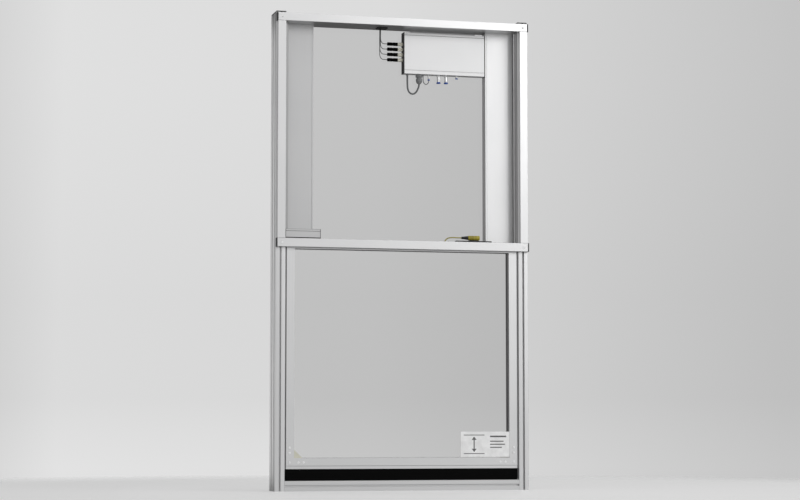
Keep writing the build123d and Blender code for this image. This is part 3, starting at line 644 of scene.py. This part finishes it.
# ---- Carried-over nodes with rounded edges ----
DUCT_EDGE = 0.0004
SOFTENED = [
    ("main_post_left", 0.0005, ALUMINIUM["z"]),
    ("main_post_right", 0.0005, ALUMINIUM["z"]),
    ("sill_beam", 0.0005, SILL_METAL),
    ("top_cross_beam", 0.0008, ALUMINIUM["x"]),
    ("front_posts", 0.0009, ALUMINIUM["z"]),
    ("rear_posts", 0.0009, ALUMINIUM["z"]),
    ("end_caps", 0.0006, BLACK),
    ("guide_rails", 0.0005, GUIDE),
    ("rear_pane", 0.0004, TINTED_REAR),
    ("rear_gasket", 0.0008, SEAL),
    ("control_box_body", 0.0005, BOX_SHEET),
    ("control_box_cover", 0.0005, BOX_SHEET),
    ("control_box_ends", 0.0008, BLACK),
    ("valve_block", 0.001, GREY_PLASTIC),
    ("controller_module", 0.0015, MODULE),
    ("cable_entry_plate", 0.0008, BLACK),
    ("cylinder_end_blocks", 0.0008, ALUMINIUM["z"]),
    ("cylinder_tube", 0.0003, STEEL["z"]),
    ("balancer_bracket", 0.0006, STEEL["x"]),
    ("balancer_spring", 0.0002, STEEL["y"]),
    ("rope_drum", 0.0005, MODULE),
    ("leaf_stiles", 0.0007, ALUMINIUM["z"]),
    ("leaf_rails", 0.0007, ALUMINIUM["x"]),
    ("leaf_pane", 0.0004, TINTED),
    ("leaf_gasket", 0.0005, CLEAR_SEAL),
    ("corner_gussets", 0.0004, PASSIVATED),
    ("edge_carrier", 0.0005, ALUMINIUM["x"]),
    ("carrier_arm", 0.0006, STEEL["y"]),
    ("cylinder_carriage", 0.001, ALUMINIUM["z"]),
    ("cylinder_piston", 0.0008, STEEL["z"]),
    ("rope_arm", 0.0006, STEEL["x"]),
    ("plug_bracket", 0.0008, BLACK),
    ("sensor_sockets", 0.0004, NICKEL),
    ("edge_rubber", 0.0014, RUBBER),
    # Darker copy of the sheet: painted shade on the carrier housing.
    ("carrier_housing", 0.0008, SHADED_SHEET["x"]),
]


def build_carried_over():
    """Rounded copies of the listed nodes; the duct sheets on the left get SHADED_SHEET, a darker copy of the
    sheet with painted shade.
    """
    for node, width, finish in SOFTENED:
        softened(node, width, finish)
    for node in ("duct_channels", "duct_covers"):
        sheets = softened(node, DUCT_EDGE, DUCT_SHEET)
        # Faces left of centre take the painted-shade copy of the sheet.
        sheets.data.materials.append(SHADED_SHEET["z"])
        for face in sheets.data.polygons:
            face.material_index = 1 if face.center.x < 0 else 0


# ---- Rails and screws ----
RAIL_ROUND = 0.0016
RAIL_Z = {"top_rails": (1.834, 1.866), "mid_rails": (0.946, 0.980)}
FRONT_FACE = -0.058
REAR_FACE = 0.058
RAIL_DEPTH = 0.018
FRONT_SCREW_X = 0.4925
REAR_SCREWS_X = 0.495
REAR_SCREWS_Z = (0.110, 0.690, 1.270, 1.840)
LEAF_SCREWS = ((0.4545, 0.111), (0.4195, 0.111), (0.399, 0.111), (0.4545, 0.1475), (0.4545, 0.168))
BRACKET_SCREWS_X = (0.396, 0.428)
FRONT_RAIL_END = 0.511
REAR_RAIL_END = 0.475
LEAF_FACE = -0.035
SCREW_RADIUS = 0.0048
SCREW_HEIGHT = 0.0036
SCREW_SEAT = 0.002


def build_rails():
    for node, (low, high) in RAIL_Z.items():
        rails = Shape(node + "_profile")
        for end, front, back in (
            (FRONT_RAIL_END, FRONT_FACE, FRONT_FACE + RAIL_DEPTH),
            (REAR_RAIL_END, REAR_FACE - RAIL_DEPTH, REAR_FACE),
        ):
            rails.box((-end, front, low), (end, back, high), ALUMINIUM["x"])
        place(rails.finish(RAIL_ROUND, 4), "frame", "aluminium", node)


def seated_screw(shape, x, face, z, toward):
    """Socket head a little proud of its counterbore; toward is -1 for the front, +1 for the back."""
    seat = (x, face - toward * SCREW_SEAT, z)
    screw_head(shape, seat, "y", SCREW_RADIUS, SCREW_HEIGHT, toward < 0)


def build_screws():
    heads = Shape("frame_screw_heads")
    for side in (-1, 1):
        for low, high in RAIL_Z.values():
            seated_screw(heads, side * FRONT_SCREW_X, FRONT_FACE, (low + high) / 2, -1)
        for z in REAR_SCREWS_Z:
            seated_screw(heads, side * REAR_SCREWS_X, REAR_FACE, z, 1)
    place(heads.finish(), "frame", "screws", "frame_screws")
    heads = Shape("leaf_screw_heads")
    for side in (-1, 1):
        for x, z in LEAF_SCREWS:
            seated_screw(heads, side * x, LEAF_FACE, z, -1)
    for x in BRACKET_SCREWS_X:
        screw_head(heads, (x, -0.003, 0.981), "z", 0.0045, 0.0055)
    place(heads.finish(), "leaf", "screws", "leaf_screws")


# ---- Plugs, gland and fittings of the control box ----
PORT_Y = 0.029
UNDER_BOX = 1.656
PLUG_LEVELS = (1.775, 1.754, 1.733, 1.7115)
SUPPLY_GROMMET_X = 0.0343
GLAND_X = 0.083
PILOT_GROMMET_X = 0.100
PILOT_FITTING_X = 0.123
BLANK_PLUG_X = 0.240
AIR_FITTINGS = ((0.164, "ring_a", "release_ring_a"), (0.195, "ring_b", "release_ring_b"))


def build_plugs():
    plugs = Shape("sensor_plug_bodies")
    nuts = Shape("coupling_nut_rings")
    for z in PLUG_LEVELS:
        at = (0, PORT_Y, z)
        profile = [(0.0030, -0.0490), (0.0060, -0.0486), (0.0069, -0.0470)]
        for start in (-0.0440, -0.0405, -0.0370, -0.0335):
            profile += [
                (0.0070, start), (0.0065, start + 0.0004), (0.0065, start + 0.0013), (0.0070, start + 0.0017),
            ]
        profile += [
            (0.0070, -0.0288), (0.0061, -0.0276), (0.0061, -0.0244),
            (0.0070, -0.0232), (0.0070, -0.0070), (0.0062, -0.0064),
        ]
        plugs.lathe(profile, RUBBER, at, "x", factor=squarish)
        plugs.lathe([(0.0042, -0.0066), (0.0042, 0.0018)], BLACK, at, "x")
        nut = [
            (0.0061, -0.0060), (0.0061, -0.0062), (0.0065, -0.0058), (0.0065, 0.0012), (0.0060, 0.0018),
            (0.0060, 0.0026), (0.0073, 0.0030), (0.0075, 0.0036), (0.0075, 0.0122), (0.0070, 0.0128),
            (0.0070, 0.0143), (0.0061, 0.0143),
        ]
        nuts.lathe(nut, CREAM, at, "x", steps=120, factor=knurl(30, 0.025, 0.0064), closed=True)
    place(plugs.finish(), "frame", "black_plastic", "sensor_plugs")
    place(nuts.finish(), "frame", "nickel", "coupling_nuts")


def build_gland():
    at = (GLAND_X, PORT_Y, 0)
    gland = Shape("gland_body")
    gland.hexagonal([(0.0140, 1.6450), (0.0145, 1.6456), (0.0145, UNDER_BOX)], GREY_PLASTIC, at)
    gland.lathe([(0.0098, 1.6395), (0.0098, 1.6455)], GREY_PLASTIC, at)
    dome = [
        (0.0052, 1.6190), (0.0066, 1.6190), (0.0084, 1.6206), (0.0106, 1.6238), (0.0122, 1.6275),
        (0.0127, 1.6300), (0.0127, 1.6372), (0.0116, 1.6396), (0.0100, 1.6402),
    ]
    gland.lathe(dome, GREY_PLASTIC, at, steps=96, factor=knurl(12, 0.018, 0.0100))
    place(gland.finish(), "frame", "grey_plastic", "cable_gland")


def build_grommets():
    grommets = Shape("grommet_set")
    wide = [
        (0.0038, 1.6500), (0.0044, 1.6500), (0.0050, 1.6515), (0.0050, 1.6530),
        (0.0055, 1.6534), (0.0055, UNDER_BOX),
    ]
    grommets.lathe(wide, GREY_PLASTIC, (SUPPLY_GROMMET_X, PORT_Y, 0))
    narrow = [(0.0024, 1.6520), (0.0031, 1.6524), (0.0034, 1.6540), (0.0034, UNDER_BOX)]
    grommets.lathe(narrow, GREY_PLASTIC, (PILOT_GROMMET_X, PORT_Y, 0))
    at = (BLANK_PLUG_X, PORT_Y, 0)
    grommets.lathe([(0.0044, 1.6464), (0.0046, 1.6470), (0.0046, 1.6525)], PALE_METAL, at)
    grommets.hexagonal([(0.0060, 1.6520), (0.0062, 1.6524), (0.0062, UNDER_BOX)], PALE_METAL, at)
    blank = [(0.0055, 1.6440), (0.0060, 1.6444), (0.0060, 1.6462), (0.0055, 1.6468)]
    grommets.lathe(blank, BLUE, at, steps=96, factor=knurl(16, 0.03))
    place(grommets.finish(), "frame", "grey_plastic", "cable_grommets")


def build_pilot_fitting():
    at = (PILOT_FITTING_X, PORT_Y, 0)
    pilot = Shape("pilot_fitting_body")
    pilot.lathe([(0.0034, 1.6378), (0.0036, 1.6382), (0.0036, 1.6505)], PALE_METAL, at)
    pilot.hexagonal([(0.0041, 1.6500), (0.0043, 1.6504), (0.0043, UNDER_BOX)], PALE_METAL, at)
    collar = [(0.0044, 1.6340), (0.0048, 1.6344), (0.0048, 1.6372), (0.0042, 1.6380)]
    pilot.lathe(collar, BLUE, at, steps=96, factor=knurl(16, 0.03))
    place(pilot.finish(), "frame", "nickel", "pilot_fitting")


def build_air_fittings():
    fittings = Shape("air_fitting_bodies")
    for x, ring_body, node in AIR_FITTINGS:
        at = (x, PORT_Y, 0)
        body = [
            (0.0031, 1.6520), (0.0031, 1.6410), (0.0045, 1.6410), (0.0045, 1.6292), (0.0048, 1.6290),
            (0.0056, 1.6290), (0.0060, 1.6296), (0.0060, 1.6330), (0.0056, 1.6334), (0.0056, 1.6342),
            (0.0060, 1.6346), (0.0060, 1.6502),
        ]
        fittings.lathe(body, PALE_METAL, at)
        fittings.hexagonal([(0.0073, 1.6500), (0.0075, 1.6505), (0.0075, UNDER_BOX)], PALE_METAL, at)
        ring = [
            (0.00325, 1.6230), (0.0080, 1.6230), (0.0084, 1.6236), (0.0084, 1.6269), (0.0080, 1.6275),
            (0.0042, 1.6275), (0.0042, 1.6390), (0.00325, 1.6390),
        ]
        piece = Shape(node + "_collar")
        piece.lathe(ring, BLUE, at, steps=120, factor=knurl(24, 0.02, 0.0075), closed=True)
        place(piece.finish(), ring_body, "blue_plastic", node)
    place(fittings.finish(), "frame", "nickel", "air_fittings")


# ---- Rope ----
ROPE_AT = (0.438, 0.034)
ROPE_FOOT = 0.988
ROPE_STEPS = 800
DRUM_CENTRE = (0.400, 0, 1.788)
ROPE_RADIUS = 0.00092
STRAND_DEPTH = 0.09
STRAND_TWIST = 2 * math.pi / 9.0
TURN_LEVELS = (0.0279, 0.0299, 0.0319)
TURN_REACH = 0.0378
TURN_RADIUS = 0.00095


def build_rope():
    """Six strands twisted round each other, and the turns that lie on the drum."""
    rope = Shape("rope_strands")
    rings = []
    for step in range(ROPE_STEPS + 1):
        z = ROPE_FOOT + 0.001 * step
        twist = STRAND_TWIST * step
        rings.append([
            ring_point(ROPE_RADIUS * (1 + STRAND_DEPTH * math.cos(6 * (a - twist))), a, z)
            for a in turn_angles(24)
        ])
    rope.loops(rings, STEEL["z"], (*ROPE_AT, 0))
    piece = place(rope.finish(), "frame", "spring_steel", "lift_rope")
    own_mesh(piece)
    turns = Shape("rope_on_drum")
    for y in TURN_LEVELS:
        round_wire = [
            (TURN_REACH + TURN_RADIUS * math.cos(a), y + TURN_RADIUS * math.sin(a)) for a in turn_angles(10)
        ]
        turns.lathe(round_wire, STEEL["z"], DRUM_CENTRE, "y", steps=72, closed=True)
    place(turns.finish(), "balancer_drum", "spring_steel")


# ---- Sign and marks on the leaf ----
SIGN_LOW = (0.2345, -0.0345, 0.1303)
SIGN_HIGH = (0.4362, -0.0315, 0.2300)
SIGN_SPACER = [(0.005, -0.0316), (0.005, -0.0095)]
SIGN_MARK_Y = (-0.0348, -0.0344)
SIGN_BARS = [
    ((0.2475, 0.1420), (0.3330, 0.1450)), ((0.2475, 0.2150), (0.3330, 0.2180)),
    ((0.3560, 0.2080), (0.4230, 0.2140)), ((0.3560, 0.1900), (0.4120, 0.1940)),
    ((0.3560, 0.1780), (0.4180, 0.1820)), ((0.3560, 0.1660), (0.4050, 0.1700)),
    ((0.2880, 0.1620), (0.2925, 0.1980)),
]
HOUSING_MARK_Y = (-0.0322, -0.0319)


def build_sign():
    """Plain sign on four spacers: an arrow up and down between two lines, and four plain bars."""
    sign = Shape("sign_face")
    sign.box(SIGN_LOW, SIGN_HIGH, WHITE)
    for x in (0.265, 0.405):
        for z in (0.162, 0.202):
            sign.lathe(SIGN_SPACER, NICKEL, (x, 0, z), "y")
    front, back = SIGN_MARK_Y
    for (x0, z0), (x1, z1) in SIGN_BARS:
        sign.box((x0, front, z0), (x1, back, z1), ICON_GREY)
    for tip, base in ((0.2105, 0.1975), (0.1495, 0.1625)):
        outline = [(0.28025, base), (0.30025, base), (0.29025, tip)]
        sign.loops([[(x, y, z) for x, z in outline] for y in SIGN_MARK_Y], ICON_GREY)
    place(sign.finish(0.0002), "leaf", "white_plastic", "sign_plate")


def build_housing_seams_and_shade():
    """Lid line, painted shadow along the foot, dark strips at both ends and a grey strip along the top edge,
    on the front of the carrier housing.
    """
    marks = Shape("housing_seams_and_shade")
    front, back = HOUSING_MARK_Y
    marks.box((-0.4722, front, 1.0098), (-0.3344, back, 1.0112), BLACK)
    # Painted shadow: a black strip along the housing's foot, where it meets the mid beam.
    marks.box((-0.4732, front, 0.9824), (-0.3334, back, 0.9862), BLACK)
    marks.box((-0.3350, front, 0.9732), (-0.3332, back, 1.0186), BLACK)
    marks.box((-0.4732, front, 0.9732), (-0.4714, back, 1.0186), BLACK)
    marks.box((-0.4722, front, 1.0176), (-0.3344, back, 1.0186), GREY_PLASTIC)
    place(marks.finish(), "leaf", "black_plastic")


def build_box_seams():
    """Fold lines on the control box's cover and the screws in its end plates."""
    seams = Shape("box_seams")
    for low, high in ((1.8108, 1.8120), (1.6704, 1.6711)):
        seams.box((0.0178, 0.0098, low), (0.3508, 0.0101, high), BLACK)
    screw = [(0.0022, -0.0012), (0.0022, 0.0008), (0.0012, 0.0012)]
    for x in (0.0148, 0.3537):
        for z in (1.664, 1.814):
            for y in (0.016, 0.040):
                seams.lathe(screw, STEEL["x"], (x, y, z), "x", steps=20)
    place(seams.finish(), "frame", "black_plastic")


def build_rubber_ribs():
    """Three low ribs along the safety edge's front."""
    ribs = Shape("rubber_ribs")
    for z in (0.0560, 0.0685, 0.0810):
        outline = [(-0.0334, z - 0.0006), (-0.0334, z + 0.0006), (-0.0328, z + 0.0014), (-0.0328, z - 0.0014)]
        ribs.bar_x(outline, (-0.466, 0.466), RUBBER)
    place(ribs.finish(), "leaf", "edge_rubber")


build_stage()
build_cords()
build_carried_over()
build_rails()
build_screws()
build_plugs()
build_gland()
build_grommets()
build_pilot_fitting()
build_air_fittings()
build_rope()
build_sign()
build_housing_seams_and_shade()
build_box_seams()
build_rubber_ribs()
